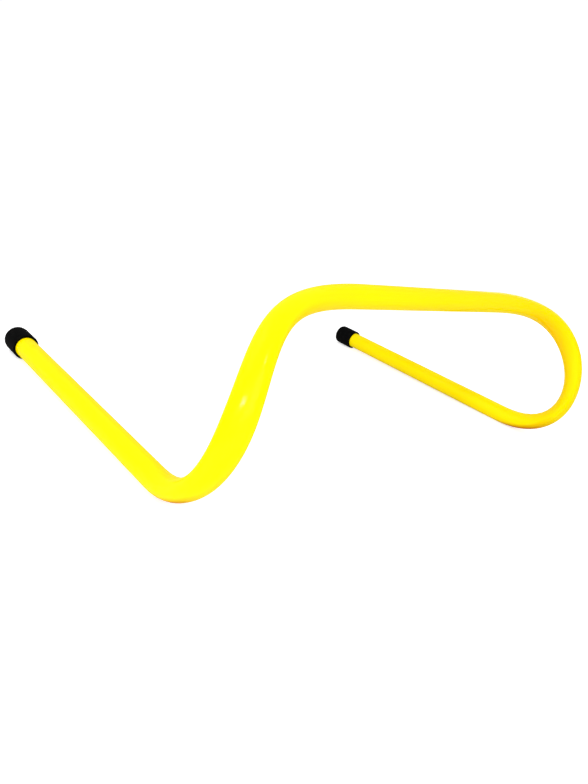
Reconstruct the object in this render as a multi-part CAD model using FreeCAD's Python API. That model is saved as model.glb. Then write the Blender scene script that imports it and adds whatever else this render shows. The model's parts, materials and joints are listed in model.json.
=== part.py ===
"""Speed hurdle in millimetres, +Z up: one bent plastic tube with a push-on cap on the end of each foot.

The crossbar lies along X, the feet run back along +Y, and the origin is on the ground under the middle.
The -X side is drawn around the crossbar's plane and mirrored, and the whole is then set on the origin.
"""
import FreeCAD, Part
import math
import os

from FreeCAD import Vector

# Tube
tube_outer_d = 18.0
tube_wall = 1.6
tube_end_chamfer = 0.4

# Crossbar, with the straight run between its two bends
hurdle_height = 150.0
bar_straight_length = 174.0

# Side: how far the foot stands out from the straight crossbar's end, and how far the leg leads the crossbar
side_out = 134.5
leg_lead = 75.0

# Foot: straight from the end of the ground bend back to the cap, and turned in a little
foot_start_back = 24.0
foot_back = 221.5
foot_toe_in = 6.9

# Leg: one curve from foot to crossbar, drawn towards points given as shares of side_out, leg_lead and height
foot_pull = 27.0
low_pull_shares = (1.115, 1.0, 0.076)
high_pull_shares = (0.81, 0.775, 0.852)
bar_pull_share = 1.03
leg_sections = 25

# Flattening of the bent tube, towards the inside of each bend
foot_flat_share = 0.25
bar_flat_share = 0.07
flat_fade_power = 4
foot_inward_shares = (0.0, 0.5, 1.0)
bar_inward_shares = (2.0, 0.0, -1.0)

# Cap
cap_wall = 2.1
cap_length = 25.0
cap_end_wall = 2.2
cap_end_round = 3.0
cap_lip_round = 0.5
cap_clearance = 0.05

# Cuts run past the faces that they open, and two lengths this close are equal
cut_overrun = 1.0
equal_tolerance = 0.001

tube_r = tube_outer_d / 2
cap_bore_r = tube_r + cap_clearance
cap_outer_r = cap_bore_r + cap_wall
bar_height = hurdle_height - tube_r
bar_half = bar_straight_length / 2

# Centre line of the -X side, with the crossbar at y = 0 and the cap's lip on the ground
foot_start = Vector(-bar_half - side_out, foot_start_back, tube_r)
cap_mouth = foot_start + Vector(foot_toe_in, foot_back, cap_outer_r - tube_r)
foot_axis = (cap_mouth - foot_start).normalize()
foot_end = cap_mouth + foot_axis * (cap_length - cap_end_wall)
cap_end = cap_mouth + foot_axis * cap_length
bar_end = Vector(-bar_half, 0, bar_height)

# An oval is a ring of exact arcs: every second control point stands off the arc, with less weight
ring_arcs = 3
ring_degree = 2
half_arc = math.pi / ring_arcs
ring_steps = range(2 * ring_arcs + 1)
ring_weights = [math.cos(half_arc) if step % 2 else 1 for step in ring_steps]
ring_knots = list(range(ring_arcs + 1))
ring_knot_counts = [ring_degree + 1] + [ring_degree] * (ring_arcs - 1) + [ring_degree + 1]


def mirrored(shape):
    return shape.mirror(Vector(), Vector(1, 0, 0))


def straight_run(start, end, radius):
    return Part.makeCylinder(radius, (end - start).Length, start, end - start)


def ring_edge(centre, axis, start):
    """A circle about an axis, started at a point on it."""
    circle = Part.Circle(centre, axis, centre.distanceToPoint(start))
    circle.XAxis = start - centre
    return circle.toShape()


def rim(shape, centre, radius):
    """The round edges with this centre and radius."""
    circles = [edge for edge in shape.Edges if isinstance(edge.Curve, Part.Circle)]
    return [
        edge
        for edge in circles
        if edge.Curve.Center.distanceToPoint(centre) < equal_tolerance
        and abs(edge.Curve.Radius - radius) < equal_tolerance
    ]


def pull_point(shares):
    """A point that the leg's curve is drawn towards."""
    out_share, lead_share, height_share = shares
    return Vector(-bar_half - side_out * out_share, -leg_lead * lead_share, bar_height * height_share)


def leg_curve():
    """The leg's centre line, tangent to the foot and to the crossbar."""
    curve = Part.BezierCurve()
    curve.setPoles([
        foot_start,
        foot_start - foot_axis * foot_pull,
        pull_point(low_pull_shares),
        pull_point(high_pull_shares),
        bar_end - Vector(side_out * bar_pull_share, 0, 0),
        bar_end,
    ])
    return curve


def flat_share(along):
    """How far the section is flattened, fading out where the leg meets the foot and the crossbar."""
    strength = foot_flat_share + (bar_flat_share - foot_flat_share) * along
    fade = 1 - abs(2 * along - 1) ** flat_fade_power
    return strength * fade ** 2


def oval_points(curve, place, wall):
    """Control points of the section at a place on the leg, thin towards the inside of the bend."""
    along = curve.length(curve.FirstParameter, place) / curve.length()
    centre = curve.value(place)
    tangent = Vector(*curve.tangent(place)[0])
    foot_inward = Vector(*foot_inward_shares).normalize()
    bar_inward = Vector(*bar_inward_shares).normalize()
    across = tangent.cross(foot_inward * (1 - along) + bar_inward * along).normalize()
    flat = flat_share(along)
    wide = across * (tube_r * (1 + flat) - wall)
    thin = across.cross(tangent) * (tube_r * (1 - flat) - wall)
    points = []
    for step, weight in zip(ring_steps, ring_weights):
        turn = half_arc * step
        points.append(centre + (wide * math.cos(turn) + thin * math.sin(turn)) / weight)
    return points


def leg_skin(wall):
    """The side of the leg: one smooth surface through its oval sections."""
    curve = leg_curve()
    places = [step / (leg_sections - 1) for step in range(leg_sections)]
    sections = [oval_points(curve, place, wall) for place in places]
    tracks = []
    for points in zip(*sections):
        track = Part.BSplineCurve()
        track.interpolate(Points=list(points), Parameters=places)
        tracks.append(track)
    first = tracks[0]
    skin = Part.BSplineSurface()
    skin.buildFromPolesMultsKnots(
        [track.getPoles() for track in tracks],
        ring_knot_counts, first.getMultiplicities(),
        ring_knots, first.getKnots(),
        False, False, ring_degree, first.Degree,
        [[weight] * first.NbPoles for weight in ring_weights],
    )
    return skin.toShape()


def bent_rod(wall, end_overrun):
    """The bent tube as a solid rod, drawn in by a wall and run past the ends of the feet."""
    leg = leg_skin(wall)
    foot_seam, bar_seam = [edge.Vertexes[0].Point for edge in leg.Edges if edge.isClosed()]
    foot_run = foot_end + foot_axis * end_overrun - foot_start
    bar_run = Vector(bar_straight_length, 0, 0)
    foot_ring = ring_edge(foot_start, foot_run, foot_seam)
    foot_disc = Part.Face(Part.Wire(foot_ring)).translated(foot_run)
    bar = ring_edge(bar_end, bar_run, bar_seam).extrude(bar_run)
    side = [foot_disc, foot_ring.extrude(foot_run), leg]
    skin = Part.Shell([*side, bar, *[mirrored(face) for face in side]])
    skin.sewShape()
    return Part.Solid(skin)


def hurdle_tube():
    """The hollow bent tube, with the outer edges of its two ends broken."""
    tube = bent_rod(0, 0).cut(bent_rod(tube_wall, cut_overrun))
    other_end = Vector(-foot_end.x, foot_end.y, foot_end.z)
    return tube.makeChamfer(tube_end_chamfer, rim(tube, foot_end, tube_r) + rim(tube, other_end, tube_r))


def left_end_cap():
    """The -X cap: a cup over the foot's end, with its closed end rounded and its lip eased."""
    body = straight_run(cap_mouth, cap_end, cap_outer_r)
    body = body.makeFillet(cap_end_round, rim(body, cap_end, cap_outer_r))
    body = body.makeFillet(cap_lip_round, rim(body, cap_mouth, cap_outer_r))
    return body.cut(straight_run(cap_mouth - foot_axis * cut_overrun, foot_end, cap_bore_r))


def main():
    left_cap = left_end_cap()
    nodes = {
        "hurdle_tube": hurdle_tube(),
        "left_end_cap": left_cap,
        "right_end_cap": mirrored(left_cap),
    }
    box = Part.makeCompound(list(nodes.values())).optimalBoundingBox(False, False)
    to_origin = Vector(-box.Center.x, -box.Center.y, -box.ZMin)
    os.makedirs("parts", exist_ok=True)
    for name, shape in nodes.items():
        shape.translate(to_origin)
        shape.exportStep(f"parts/{name}.step")
    return nodes, to_origin


if __name__ == "__main__":
    main()
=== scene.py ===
"""Speed hurdle in its studio: the bent tube and its two caps as finished meshes, in metres."""
from collections import namedtuple
import json
import math

import bmesh
import bpy
import numpy as np
from mathutils import Matrix, Vector, noise


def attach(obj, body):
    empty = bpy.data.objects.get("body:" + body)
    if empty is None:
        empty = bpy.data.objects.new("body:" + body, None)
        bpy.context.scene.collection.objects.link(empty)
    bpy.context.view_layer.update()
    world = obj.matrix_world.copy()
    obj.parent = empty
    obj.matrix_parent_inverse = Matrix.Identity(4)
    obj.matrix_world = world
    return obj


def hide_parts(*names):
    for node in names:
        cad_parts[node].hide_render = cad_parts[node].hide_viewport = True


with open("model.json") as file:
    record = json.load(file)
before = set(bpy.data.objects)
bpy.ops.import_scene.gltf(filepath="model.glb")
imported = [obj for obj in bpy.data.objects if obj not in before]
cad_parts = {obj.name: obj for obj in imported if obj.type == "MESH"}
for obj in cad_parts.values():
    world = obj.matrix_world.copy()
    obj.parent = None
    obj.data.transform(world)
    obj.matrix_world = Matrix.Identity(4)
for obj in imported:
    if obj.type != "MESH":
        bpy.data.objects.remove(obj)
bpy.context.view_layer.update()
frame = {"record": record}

mounts = {mount["name"]: mount for mount in frame["record"]["mounts"]}
bar_middle = np.array(mounts["crossbar_clip_seat"]["pos_m"])

Ring = namedtuple("Ring", "points places strains rubs")
Marks = namedtuple("Marks", "strain_gain rub_spread_share rub_height")
Texture = namedtuple("Texture", "scale along_share detail roughness")
Relief = namedtuple("Relief", "strength height")
Lamp = namedtuple("Lamp", "name place aim size power")

MM = 0.001

# Tube, as the CAD has it
tube_r = 9.0 * MM
tube_wall = 1.6 * MM
tube_end_chamfer = 0.4 * MM
bar_axis = np.array((1.0, 0.0, 0.0))
bar_half = 87.0 * MM
side_out = 134.5 * MM
leg_lead = 75.0 * MM
foot_start_back = 24.0 * MM
foot_pull = 27.0 * MM
low_pull_shares = (1.115, 1.0, 0.076)
high_pull_shares = (0.81, 0.775, 0.852)
bar_pull_share = 1.03
foot_flat_share = 0.25
bar_flat_share = 0.07
flat_fade_power = 4
foot_inward_shares = (0.0, 0.5, 1.0)
bar_inward_shares = (2.0, 0.0, -1.0)

# Cap, as the CAD has it, with a crowned end, a shoulder past the tube's end and a drip mark from dipping
cap_wall = 2.1 * MM
cap_length = 25.0 * MM
cap_end_wall = 2.2 * MM
cap_end_round = 3.0 * MM
cap_lip_round = 0.5 * MM
cap_clearance = 0.05 * MM
cap_depth = cap_length - cap_end_wall
cap_shoulder = 0.25 * MM
cap_crown = 0.45 * MM
cap_side_shares = (0.3, 0.6, 0.85)
cap_crown_shares = (0.75, 0.5, 0.3)
cap_end_turn = 78
drip_r = 1.6 * MM
drip_height = 0.2 * MM
drip_shares = ((1.0, 0.0), (0.7, 0.5), (0.35, 0.9))

# Marks of heat bending: ripples inside the ground bends, and a tube that is nowhere quite true
ripple_share = 0.15
ripple_spread_share = 0.075
ripple_pitch = 8.0 * MM
ripple_depth = 0.22 * MM
ripple_inside_power = 3
waver_depth = 0.05 * MM
waver_length = 35.0 * MM
waver_fade = 40.0 * MM

# Strain in the upper bends, deepened on their insides by painted shade, and painted shade along the
# undersides of the ground bends. The far side, on the right, shows more of both
underside_shade_centre = 0.11
left_marks = Marks(strain_gain=0.9, rub_spread_share=0.075, rub_height=2.8 * MM)
right_marks = Marks(strain_gain=2.6, rub_spread_share=0.10, rub_height=4.0 * MM)

# Meshes
ring_points = 60
ring_step = 2.0 * MM
curve_steps = 2000
cap_points = 72
arc_steps = 8
crisp_angle = math.radians(40)

# Colours, as linear values
YELLOW = (0.98, 0.75, 0.0, 1)
PALE_YELLOW = (0.98, 0.79, 0.0, 1)
# Deep yellow is the die lines' tone, and also painted shade on the inside of the upper bends
DEEP_YELLOW = (0.98, 0.55, 0.0, 1)
# Painted shade along the undersides of the ground bends
UNDERSIDE_SHADE_ORANGE = (0.48, 0.063, 0.0, 1)
BLACK = (0.001, 0.001, 0.001, 1)
DUSTY_BLACK = (0.010, 0.0096, 0.0092, 1)
FLOOR_WHITE = (0.8, 0.8, 0.8, 1)
WHITE = (1, 1, 1, 1)

# Textures: scale per metre, and the share of it that is left along the tube, 1 where the texture is even
line_texture = Texture(scale=900.0, along_share=0.006, detail=4.0, roughness=0.6)
fine_line_texture = Texture(scale=3500.0, along_share=0.002, detail=1.0, roughness=0.5)
cloud_texture = Texture(scale=60.0, along_share=0.25, detail=3.0, roughness=0.5)
scuff_texture = Texture(scale=260.0, along_share=0.08, detail=6.0, roughness=0.7)
grain_texture = Texture(scale=900.0, along_share=1.0, detail=2.0, roughness=0.5)
skin_texture = Texture(scale=700.0, along_share=1.0, detail=2.0, roughness=0.5)
dust_texture = Texture(scale=240.0, along_share=1.0, detail=6.0, roughness=0.65)

# Where each texture or mark begins to show and is full, and how far it changes the colour
cloud_range = (0.35, 0.7)
cloud_share = 0.25
line_range = (0.45, 0.75)
line_share = 0.18
full_strain = 0.2
# How far the strain deepens the colour: partly the squeeze of bending, partly painted shade inside the
# bends
squeeze_and_shade_share = 0.9
stretched_share = 0.4
# Painted shade under the ground bends: where it shows and is full, and where noise breaks it up
underside_shade_range = (0.1, 0.8)
shade_break_range = (0.35, 0.6)
shade_break_shares = (0.55, 1.0)
scuff_range = (0.35, 0.75)
dust_range = (0.3, 0.75)
dust_colour_range = (0.5, 0.8)
dust_share = 0.6

# Gloss: the weight of a thin coat and the roughness under it, each from clean to scuffed or dusty
coat_ior = 1.5
plastic_coat = (0.14, 0.11)
plastic_coat_roughness = 0.11
plastic_roughness = (0.3, 0.5)
# The share of the coat left under the painted shade of the ground bends
shaded_coat_share = 0.2
vinyl_coat = (0.06, 0.03)
vinyl_coat_roughness = 0.4
vinyl_roughness = (0.42, 0.58)

# Fine relief, and the light that scatters inside the plastic
line_relief = Relief(strength=0.25, height=0.04 * MM)
fine_line_relief = Relief(strength=0.5, height=0.03 * MM)
grain_relief = Relief(strength=0.12, height=0.04 * MM)
skin_relief = Relief(strength=0.2, height=0.08 * MM)
scatter_share = 0.12
scatter_depth = 4.0 * MM
scatter_colour_shares = (1.0, 0.45, 0.05)

# Studio: a strip to the left and a small lamp above for the gloss on the near leg, soft lamps in front on
# the left, over the near foot and low on the right, an even fill, and a floor lifted to white
bar_spot = Vector(bar_middle)
gloss_spot = bar_spot + Vector((-0.2150, -0.0428, -0.0517))
foot_spot = Vector(mounts["left_foot_end"]["pos_m"])
lamps = (
    Lamp("left", gloss_spot + Vector((-0.861, -0.289, 0.420)), gloss_spot, size=(0.35, 0.075), power=4.9),
    Lamp("top", gloss_spot + Vector((-0.300, -0.552, 1.020)), gloss_spot, size=(0.2, 0.2), power=2.25),
    Lamp("front", Vector((-0.50, -0.80, 0.45)), bar_spot, size=(0.6, 0.6), power=3.05),
    Lamp("foot", Vector((-0.45, 0.25, 0.50)), foot_spot, size=(0.4, 0.4), power=0.61),
    Lamp("right", Vector((0.95, 0.10, 0.30)), bar_spot, size=(0.6, 0.4), power=1.5),
)
fill_level = 0.66
seen_sky_level = 1.04
floor_glow = 0.54
floor_half = 6.0

# Camera, fitted to the photograph
photo_height = 784
photo_focal = 692.3
sensor_size = 36.0
clip_start = 0.01
camera_place = bar_spot + Vector((-0.46116, -0.31171, 0.09095))
camera_aim = bar_spot + Vector((-0.11862, 0.01180, -0.07641))
camera_roll = math.radians(14.28)


def unit(vector):
    return vector / np.linalg.norm(vector)


class Station:
    """A place on the tube's centre line: its centre, direction, distance, and share along the leg."""

    def __init__(self, centre, direction, distance, leg_share):
        self.centre = centre
        self.direction = direction
        self.distance = distance
        self.leg_share = leg_share
        foot_inward = unit(np.array(foot_inward_shares))
        bar_inward = unit(np.array(bar_inward_shares))
        self.across = unit(np.cross(direction, foot_inward * (1 - leg_share) + bar_inward * leg_share))
        self.inward = np.cross(self.across, direction)
        self.bend = np.zeros(3)


def bezier(poles, share):
    """A point of a curve and its direction there."""
    while len(poles) > 2:
        poles = poles[:-1] * (1 - share) + poles[1:] * share
    start, end = poles
    return start * (1 - share) + end * share, unit(end - start)


def shares_over(length):
    """Even shares, from 0 to 1, for rings along a length."""
    return np.linspace(0, 1, max(2, round(length / ring_step)))


def pull_point(bar_end, shares):
    """A point that the leg's curve is drawn towards."""
    out_share, lead_share, height_share = shares
    height = bar_middle[2] * (height_share - 1)
    return bar_end + np.array((-side_out * out_share, -leg_lead * lead_share, height))


def foot_line(side):
    """The middle of a cap's mouth, and the direction of its foot."""
    mount = mounts[f"{side}_foot_end"]
    axis = np.array(mount["axis"])
    grip_half = mount["dims"]["length_mm"] * MM / 2
    return np.array(mount["pos_m"]) - axis * (grip_half + cap_lip_round), axis


def left_half():
    """Stations from the left foot's end to the middle of the crossbar, where the distance is 0."""
    mouth, foot_axis = foot_line("left")
    foot_end = mouth + foot_axis * cap_depth
    foot_start_y = bar_middle[1] + foot_start_back
    foot_start = foot_end - foot_axis * (foot_end[1] - foot_start_y) / foot_axis[1]
    bar_end = bar_middle - bar_axis * bar_half

    poles = np.array((
        foot_start,
        foot_start - foot_axis * foot_pull,
        pull_point(bar_end, low_pull_shares),
        pull_point(bar_end, high_pull_shares),
        bar_end - bar_axis * side_out * bar_pull_share,
        bar_end,
    ))
    fine = np.linspace(0, 1, curve_steps + 1)
    fine_points = np.array([bezier(poles, share)[0] for share in fine])
    fine_steps = np.linalg.norm(np.diff(fine_points, axis=0), axis=1)
    fine_lengths = np.concatenate(((0,), np.cumsum(fine_steps)))
    leg_length = fine_lengths[-1]
    foot_length = np.linalg.norm(foot_end - foot_start)
    leg_start = -bar_half - leg_length

    stations = []
    for share in shares_over(foot_length)[:-1]:
        centre = foot_end + (foot_start - foot_end) * share
        stations.append(Station(centre, -foot_axis, leg_start - foot_length * (1 - share), 0.0))
    for leg_share in shares_over(leg_length)[:-1]:
        centre, direction = bezier(poles, np.interp(leg_share * leg_length, fine_lengths, fine))
        stations.append(Station(centre, direction, leg_start + leg_length * leg_share, leg_share))
    for share in shares_over(bar_half):
        centre = bar_end + (bar_middle - bar_end) * share
        stations.append(Station(centre, bar_axis, -bar_half * (1 - share), 1.0))
    for before, here, after in zip(stations, stations[1:], stations[2:]):
        here.bend = (after.direction - before.direction) / (after.distance - before.distance)
    return stations


def bend_fade(along):
    """1 in the middle of the leg, fading out where it meets the foot and the crossbar."""
    return (1 - abs(2 * along - 1) ** flat_fade_power) ** 2


def flat_share(along):
    """How far the section is flattened."""
    return (foot_flat_share + (bar_flat_share - foot_flat_share) * along) * bend_fade(along)


def bending_mark(station, turn, end_distance):
    """How far heat bending lifts or sinks the skin here. The tube is true at its ends."""
    inside = max(0.0, math.sin(turn)) ** ripple_inside_power
    window = math.exp(-((station.leg_share - ripple_share) / ripple_spread_share) ** 2)
    ripple = math.cos(2 * math.pi * station.distance / ripple_pitch) * window * inside
    fade = min(1.0, (station.distance - end_distance) / waver_fade) ** 2
    place = Vector((math.cos(turn), math.sin(turn), station.distance / waver_length))
    return ripple_depth * ripple + waver_depth * noise.noise(place) * fade


def tube_ring(station, marks, depth, marked_from=None):
    """A ring at a depth under the skin: points, places on the straight tube, strains, painted shade below.
    """
    flat = flat_share(station.leg_share)
    strain_gain = marks.strain_gain * station.leg_share * bend_fade(station.leg_share)
    points, places, strains = [], [], []
    for turn in np.arange(ring_points) * 2 * math.pi / ring_points:
        lift = -depth
        if marked_from is not None:
            lift += bending_mark(station, turn, marked_from)
        wide = station.across * (tube_r * (1 + flat) + lift) * math.cos(turn)
        thin = station.inward * (tube_r * (1 - flat) + lift) * math.sin(turn)
        points.append(station.centre + wide + thin)
        places.append((tube_r * math.cos(turn), tube_r * math.sin(turn), station.distance))
        # The strain, raised more on the right, also paints shade on the inside of the upper bends
        strains.append(strain_gain * np.dot(station.bend, wide + thin))
    heights = np.array(points)[:, 2]
    # Painted shade along the undersides of the ground bends, fading up from each ring's lowest point
    window = math.exp(-((station.leg_share - underside_shade_centre) / marks.rub_spread_share) ** 2)
    rubs = window * np.exp(-((heights - heights.min()) / marks.rub_height) ** 2)
    return Ring(np.array(points), np.array(places), np.array(strains), rubs)


def half_rows(half, marks):
    """Rings of one half's skin, with the end's outer edge broken, and of its bore."""
    end = half[0]
    skin = [tube_ring(station, marks, 0.0, marked_from=end.distance) for station in half]
    skin[0] = skin[0]._replace(points=skin[0].points + end.direction * tube_end_chamfer)
    skin.insert(0, tube_ring(end, marks, tube_end_chamfer))
    return skin, [tube_ring(station, marks, tube_wall) for station in half]


def with_other_half(left, right):
    """The rings from foot to foot. The right half is given as a left one, and mirrored here."""
    flip = np.array((-1, 1, 1))
    flip_place = np.array((1, 1, -1))
    mirrored = []
    for row in reversed(right[:-1]):
        mirrored.append(row._replace(points=row.points * flip, places=row.places * flip_place))
    return left + mirrored


def finish_faces(piece):
    """Turns all faces out and smooths them, with crisp edges where the surface breaks."""
    work = bmesh.new()
    work.from_mesh(piece.data)
    bmesh.ops.recalc_face_normals(work, faces=work.faces)
    work.to_mesh(piece.data)
    work.free()
    piece.data.shade_smooth()
    piece.data.set_sharp_from_angle(angle=crisp_angle)


def grid_object(name, rings, ends_meet, start_point=None, end_point=None):
    """A mesh of quads through rings, joined end to end or closed by a point at each end."""
    count = len(rings[0])
    verts = [point for ring in rings for point in ring]
    pairs = list(zip(range(len(rings) - 1), range(1, len(rings))))
    if ends_meet:
        pairs.append((len(rings) - 1, 0))
    faces = []
    for low, high in pairs:
        for step in range(count):
            follow = (step + 1) % count
            corners = ((low, step), (low, follow), (high, follow), (high, step))
            faces.append([row * count + place for row, place in corners])
    for point, row in ((start_point, 0), (end_point, len(rings) - 1)):
        if point is not None:
            verts.append(point)
            for step in range(count):
                faces.append((row * count + step, row * count + (step + 1) % count, len(verts) - 1))
    mesh = bpy.data.meshes.new(name)
    mesh.from_pydata([tuple(vert) for vert in verts], [], faces)
    piece = bpy.data.objects.new(name, mesh)
    bpy.context.scene.collection.objects.link(piece)
    finish_faces(piece)
    return piece


def add_attribute(piece, name, kind, values):
    field = "vector" if kind == "FLOAT_VECTOR" else "value"
    made = piece.data.attributes.new(name, kind, "POINT")
    made.data.foreach_set(field, np.asarray(values, np.float32).ravel())


def hurdle_tube():
    """The hollow tube: rings along the skin and back along the bore."""
    half = left_half()
    left_skin, left_bore = half_rows(half, left_marks)
    right_skin, right_bore = half_rows(half, right_marks)
    rows = with_other_half(left_skin, right_skin) + with_other_half(left_bore, right_bore)[::-1]

    piece = grid_object("tube", [row.points for row in rows], ends_meet=True)
    add_attribute(piece, "straight_place", "FLOAT_VECTOR", np.concatenate([row.places for row in rows]))
    # Strain with painted shade in the upper bends, and painted shade under the ground bends
    add_attribute(piece, "strain", "FLOAT", np.concatenate([row.strains for row in rows]))
    add_attribute(piece, "underside_shade", "FLOAT", np.concatenate([row.rubs for row in rows]))
    piece.data.materials.append(yellow_plastic())
    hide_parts("hurdle_tube")
    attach(piece, "hurdle")


def arc(centre_along, centre_r, radius, start, end):
    """Points of a rounded corner of the cap's profile, from one angle to another in degrees."""
    turns = np.linspace(math.radians(start), math.radians(end), arc_steps)
    return [(centre_along + radius * math.sin(turn), centre_r + radius * math.cos(turn)) for turn in turns]


def cap_profile():
    """The cap's half section from the bottom of its bore to the middle of its end, as (along, radius)."""
    bore_r = tube_r + cap_clearance
    outer_r = bore_r + cap_wall
    end_corner = cap_length - cap_crown - cap_end_round
    profile = [(cap_depth, bore_r / 2), (cap_depth, bore_r), (cap_depth / 2, bore_r), (0.0, bore_r)]
    profile += arc(cap_lip_round, outer_r - cap_lip_round, cap_lip_round, -90, 0)
    profile += [(cap_depth * share, outer_r) for share in cap_side_shares]
    profile += arc(end_corner, outer_r - cap_shoulder - cap_end_round, cap_end_round, 0, cap_end_turn)
    crown_along, crown_r = profile[-1]
    crown = cap_length - drip_height - crown_along
    profile += [(crown_along + crown * (1 - share ** 2), crown_r * share) for share in cap_crown_shares]
    profile += [(cap_length - drip_height * (1 - rise), drip_r * share) for share, rise in drip_shares]
    return profile


def end_cap(side, material):
    """A cap turned about the end of its foot."""
    mouth, axis = foot_line(side)
    sideways = unit(np.cross(axis, (0, 0, 1)))
    upward = np.cross(sideways, axis)
    turns = np.arange(cap_points) * 2 * math.pi / cap_points
    spokes = [sideways * math.cos(turn) + upward * math.sin(turn) for turn in turns]
    rings = [[mouth + axis * along + spoke * radius for spoke in spokes] for along, radius in cap_profile()]

    bore_end = mouth + axis * cap_depth
    tip = mouth + axis * cap_length
    piece = grid_object(f"{side}_cap", rings, ends_meet=False, start_point=bore_end, end_point=tip)
    piece.data.materials.append(material)
    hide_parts(f"{side}_end_cap")
    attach(piece, f"{side}_cap")


class Nodes:
    """A node tree, with short ways to add a node and set its inputs."""

    # The mix node has a set of sockets for each kind of value, so those for colours go by number
    mix_share_input = 0
    mix_first_input = 6
    mix_second_input = 7
    mix_output = 2

    def __init__(self, tree):
        self.tree = tree

    def add(self, kind, settings=None, **inputs):
        node = self.tree.nodes.new(kind)
        for name, value in (settings or {}).items():
            setattr(node, name, value)
        for name, value in inputs.items():
            self.put(node.inputs[name.replace("_", " ")], value)
        return node

    def put(self, socket, value):
        if isinstance(value, bpy.types.NodeSocket):
            self.tree.links.new(value, socket)
        else:
            socket.default_value = value

    def attribute(self, name, output):
        return self.add("ShaderNodeAttribute", {"attribute_name": name}).outputs[output]

    def noise(self, place, texture):
        """A texture's noise. A share under 1 draws it out along Z, which is along the straight tube."""
        stretch = (1.0, 1.0, texture.along_share)
        node = self.add(
            "ShaderNodeTexNoise",
            Vector=self.add("ShaderNodeMapping", Vector=place, Scale=stretch).outputs["Vector"],
            Scale=texture.scale,
            Detail=texture.detail,
            Roughness=texture.roughness,
        )
        return node.outputs["Fac"]

    def ranged(self, value, start, end):
        """Maps a value from one range to another."""
        ends = {"From_Min": start[0], "From_Max": start[1], "To_Min": end[0], "To_Max": end[1]}
        return self.add("ShaderNodeMapRange", Value=value, **ends).outputs["Result"]

    def combined(self, operation, first, second):
        """Two values put together by a math node's operation."""
        node = self.add("ShaderNodeMath", {"operation": operation})
        self.put(node.inputs[0], first)
        self.put(node.inputs[1], second)
        return node.outputs[0]

    def mixed(self, share, first, second):
        """Two colours, with a share of the second over the first."""
        node = self.add("ShaderNodeMix", {"data_type": "RGBA"})
        self.put(node.inputs[self.mix_share_input], share)
        self.put(node.inputs[self.mix_first_input], first)
        self.put(node.inputs[self.mix_second_input], second)
        return node.outputs[self.mix_output]

    def bumped(self, heights, relief, normal=None):
        """The surface's normal with a relief on it, over an earlier one if there is one."""
        node = self.add("ShaderNodeBump", Strength=relief.strength, Distance=relief.height, Height=heights)
        if normal is not None:
            self.put(node.inputs["Normal"], normal)
        return node.outputs["Normal"]

    def coat(self, shader, weight, roughness, normal):
        """Takes a surface's gloss from a thin coat instead of from the material under it."""
        self.put(shader["Specular IOR Level"], 0.0)
        self.put(shader["Coat Weight"], weight)
        self.put(shader["Coat Roughness"], roughness)
        self.put(shader["Coat IOR"], coat_ior)
        self.put(shader["Normal"], normal)
        self.put(shader["Coat Normal"], normal)

    def seen(self):
        """1 for a ray from the camera, or one that shows in gloss or through glass."""
        path = self.add("ShaderNodeLightPath")
        gloss = self.combined("MAXIMUM", path.outputs["Is Camera Ray"], path.outputs["Is Glossy Ray"])
        return self.combined("MAXIMUM", gloss, path.outputs["Is Transmission Ray"])


def new_material(name):
    material = bpy.data.materials.new(name)
    material.use_nodes = True
    return material, Nodes(material.node_tree), material.node_tree.nodes["Principled BSDF"].inputs


def yellow_plastic():
    """Extruded plastic: die lines, deeper where squeezed and shaded, paler where stretched, painted shade
    below.
    """
    material, nodes, shader = new_material("yellow_plastic")
    place = nodes.attribute("straight_place", "Vector")
    strain = nodes.attribute("strain", "Fac")
    underside_shade_mask = nodes.attribute("underside_shade", "Fac")
    lines = nodes.noise(place, line_texture)
    fine_lines = nodes.noise(place, fine_line_texture)
    clouds = nodes.noise(place, cloud_texture)
    scuffs = nodes.noise(place, scuff_texture)
    grain = nodes.noise(place, grain_texture)

    # Deeper on the inside of the bends: partly the squeeze of bending, partly painted shade
    squeeze_and_shade = nodes.ranged(strain, (0.0, full_strain), (0.0, squeeze_and_shade_share))
    stretched = nodes.ranged(strain, (0.0, -full_strain), (0.0, stretched_share))
    patchy = nodes.ranged(clouds, cloud_range, (0.0, cloud_share))
    lined = nodes.ranged(lines, line_range, (0.0, line_share))
    # Painted shade along the undersides of the ground bends, broken up by noise, with a thinner coat there
    broken = nodes.ranged(scuffs, shade_break_range, shade_break_shares)
    underside_shade_share = nodes.combined("MULTIPLY", nodes.ranged(underside_shade_mask, underside_shade_range, (0.0, 1.0)), broken)

    colour = nodes.mixed(patchy, YELLOW, PALE_YELLOW)
    colour = nodes.mixed(stretched, colour, PALE_YELLOW)
    colour = nodes.mixed(squeeze_and_shade, colour, DEEP_YELLOW)
    colour = nodes.mixed(lined, colour, DEEP_YELLOW)
    nodes.put(shader["Base Color"], nodes.mixed(underside_shade_share, colour, UNDERSIDE_SHADE_ORANGE))
    nodes.put(shader["Roughness"], nodes.ranged(scuffs, scuff_range, plastic_roughness))
    nodes.put(shader["Subsurface Weight"], scatter_share)
    nodes.put(shader["Subsurface Radius"], scatter_colour_shares)
    nodes.put(shader["Subsurface Scale"], scatter_depth)

    gloss = nodes.ranged(scuffs, scuff_range, plastic_coat)
    gloss = nodes.combined("MULTIPLY", gloss, nodes.ranged(underside_shade_share, (0.0, 1.0), (1.0, shaded_coat_share)))
    normal = nodes.bumped(lines, line_relief)
    normal = nodes.bumped(fine_lines, fine_line_relief, normal)
    normal = nodes.bumped(grain, grain_relief, normal)
    nodes.coat(shader, gloss, plastic_coat_roughness, normal)
    return material


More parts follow.
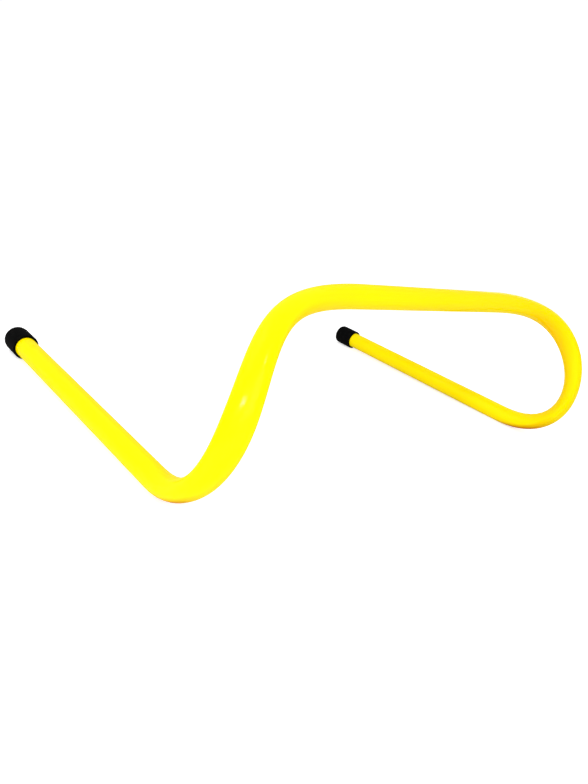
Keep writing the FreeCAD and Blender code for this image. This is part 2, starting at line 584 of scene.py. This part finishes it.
def black_vinyl():
    """Dipped vinyl: satin black with a soft skin and a trace of dust."""
    material, nodes, shader = new_material("black_vinyl")
    place = nodes.add("ShaderNodeTexCoord").outputs["Object"]
    skin = nodes.noise(place, skin_texture)
    dust = nodes.noise(place, dust_texture)
    dusty = nodes.ranged(dust, dust_colour_range, (0.0, dust_share))
    nodes.put(shader["Base Color"], nodes.mixed(dusty, BLACK, DUSTY_BLACK))
    nodes.put(shader["Roughness"], nodes.ranged(dust, dust_range, vinyl_roughness))
    gloss = nodes.ranged(dust, dust_range, vinyl_coat)
    nodes.coat(shader, gloss, vinyl_coat_roughness, nodes.bumped(skin, skin_relief))
    return material


def white_floor():
    """A white floor that keeps the shadow, and is lifted to white where it is seen or mirrored."""
    material, nodes, shader = new_material("white_floor")
    nodes.put(shader["Base Color"], FLOOR_WHITE)
    nodes.put(shader["Roughness"], 1.0)
    nodes.put(shader["Specular IOR Level"], 0.0)
    nodes.put(shader["Emission Color"], WHITE)
    nodes.put(shader["Emission Strength"], nodes.ranged(nodes.seen(), (0.0, 1.0), (0.0, floor_glow)))
    corners = [(x * floor_half, y * floor_half, 0.0) for x, y in ((-1, -1), (1, -1), (1, 1), (-1, 1))]
    mesh = bpy.data.meshes.new("floor")
    mesh.from_pydata(corners, [], [range(len(corners))])
    mesh.materials.append(material)
    floor = bpy.data.objects.new("floor", mesh)
    bpy.context.scene.collection.objects.link(floor)


def white_world():
    """An even fill, which is plain white where it is seen or mirrored."""
    world = bpy.data.worlds.new("studio")
    world.use_nodes = True
    bpy.context.scene.world = world
    nodes = Nodes(world.node_tree)
    background = world.node_tree.nodes["Background"].inputs
    nodes.put(background["Color"], WHITE)
    nodes.put(background["Strength"], nodes.ranged(nodes.seen(), (0.0, 1.0), (fill_level, seen_sky_level)))


def softbox(lamp):
    name = f"{lamp.name}_softbox"
    light = bpy.data.lights.new(name, "AREA")
    light.shape = "RECTANGLE"
    light.size, light.size_y = lamp.size
    light.energy = lamp.power
    box = bpy.data.objects.new(name, light)
    box.location = lamp.place
    box.rotation_euler = (lamp.aim - lamp.place).to_track_quat("-Z", "Y").to_euler()
    bpy.context.scene.collection.objects.link(box)


def camera():
    lens = bpy.data.cameras.new("camera")
    lens.sensor_width = sensor_size
    lens.lens = photo_focal / photo_height * sensor_size
    lens.clip_start = clip_start
    body = bpy.data.objects.new("camera", lens)
    turn = (camera_aim - camera_place).to_track_quat("-Z", "Y").to_matrix().to_4x4()
    body.matrix_world = Matrix.Translation(camera_place) @ turn @ Matrix.Rotation(camera_roll, 4, "Z")
    bpy.context.scene.collection.objects.link(body)
    bpy.context.scene.camera = body


hurdle_tube()
vinyl = black_vinyl()
for cap_side in ("left", "right"):
    end_cap(cap_side, vinyl)
white_floor()
white_world()
for lamp in lamps:
    softbox(lamp)
camera()
bpy.context.scene.view_settings.view_transform = "Standard"
